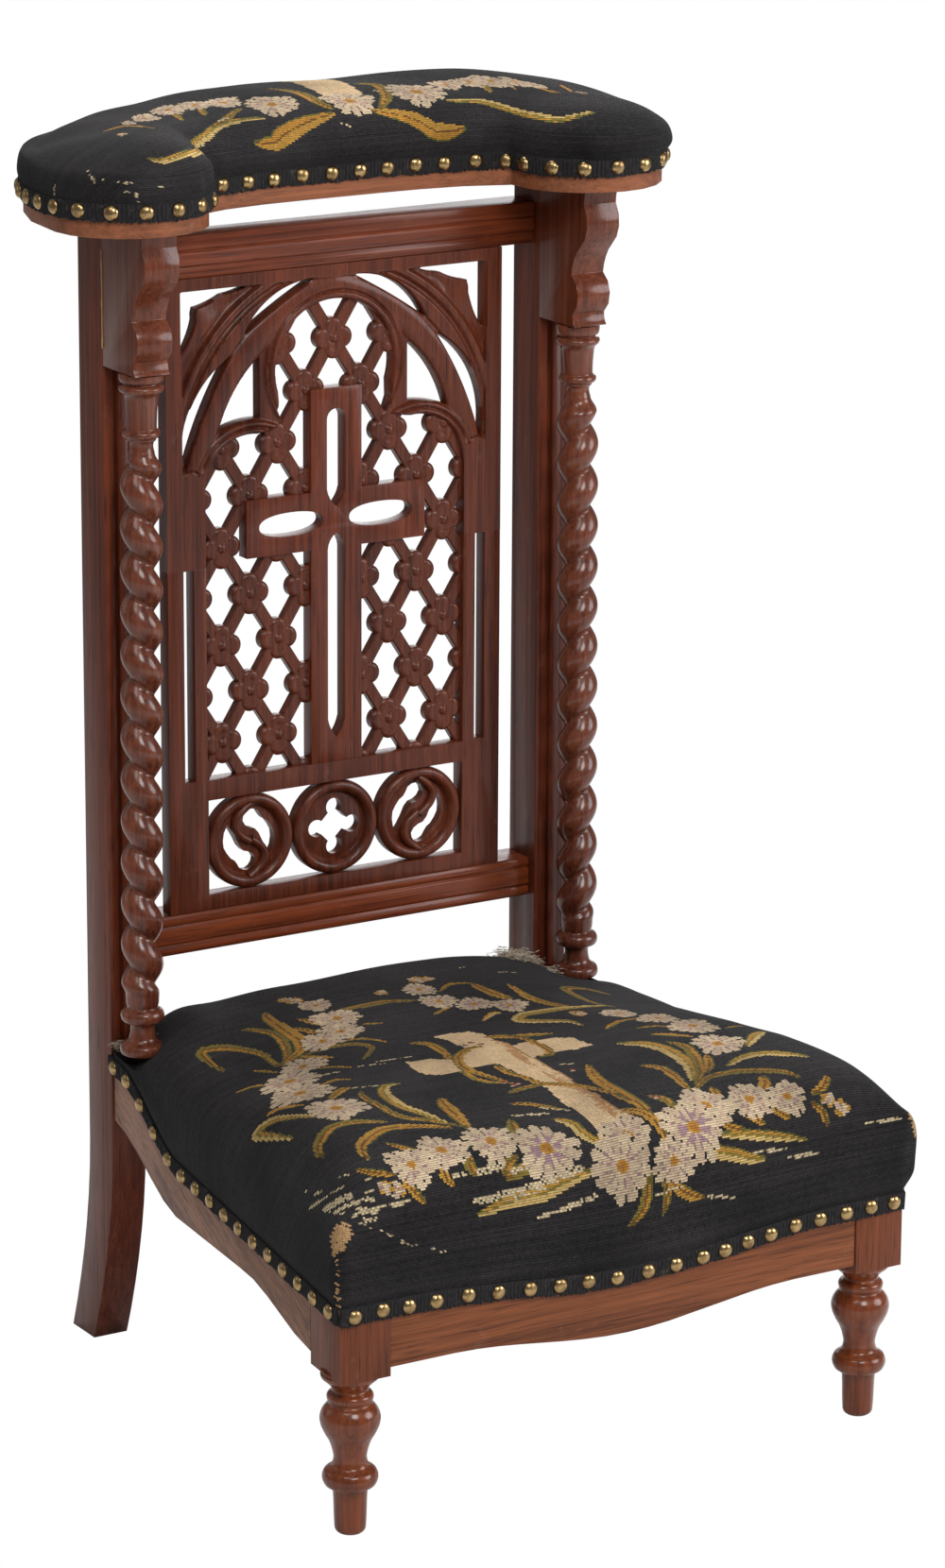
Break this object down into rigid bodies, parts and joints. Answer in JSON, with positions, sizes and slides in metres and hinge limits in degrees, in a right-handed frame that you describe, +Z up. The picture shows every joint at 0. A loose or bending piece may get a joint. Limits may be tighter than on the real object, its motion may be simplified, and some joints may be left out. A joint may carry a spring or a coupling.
{
  "type": "prie dieu",
  "caption": "Kneeling desk with pierced Gothic back, barley twist columns, padded lobed armrest and low upholstered kneeler.",
  "frame": {"origin": "middle of the footprint's box, on the floor", "axes": "+X to the right seen from the front, +Y to the back, +Z up; the front of the kneeler faces -Y"},
  "size_m": [0.535, 0.5982, 0.9601],
  "materials": {
    "stained_oak": "stained and varnished, satin to glossy",
    "seat_oak": "stained, thin worn varnish",
    "board_oak": "stained, satin",
    "deal": "bare",
    "needlework": "wool needlework on canvas, matte",
    "gimp_braid": "black braid with brass nail heads",
    "horsehair": "matte stuffing",
    "hessian": "coarse plain weave",
    "webbing": "woven jute straps"
  },
  "bodies": {
    "root": {"stile_left": "stained_oak", "stile_right": "stained_oak", "top_rail": "stained_oak", "bottom_rail": "stained_oak", "fretwork_panel": "stained_oak", "bracket_left": "stained_oak", "bracket_right": "stained_oak", "column_left": "stained_oak", "column_right": "stained_oak", "column_strip_left": "stained_oak", "column_strip_right": "stained_oak", "front_leg_left": "stained_oak", "front_leg_right": "stained_oak", "front_rail": "seat_oak", "rear_rail": "seat_oak", "side_rail_left": "seat_oak", "side_rail_right": "seat_oak", "armrest_board": "board_oak", "bracket_dowel_left": "deal", "bracket_dowel_right": "deal", "armrest_dowel_left": "deal", "armrest_dowel_right": "deal", "glue_block_front_left": "deal", "glue_block_front_right": "deal", "glue_block_rear_left": "deal", "glue_block_rear_right": "deal", "armrest_cover": "needlework", "seat_cover": "needlework", "armrest_gimp": "gimp_braid", "seat_gimp_front": "gimp_braid", "seat_gimp_left": "gimp_braid", "seat_gimp_right": "gimp_braid", "armrest_stuffing": "horsehair", "seat_stuffing": "horsehair", "seat_hessian": "hessian", "seat_webbing_across_1": "webbing", "seat_webbing_across_2": "webbing", "seat_webbing_across_3": "webbing", "seat_webbing_across_4": "webbing", "seat_webbing_lengthwise_1": "webbing", "seat_webbing_lengthwise_2": "webbing", "seat_webbing_lengthwise_3": "webbing"}
  },
  "joints": []
}
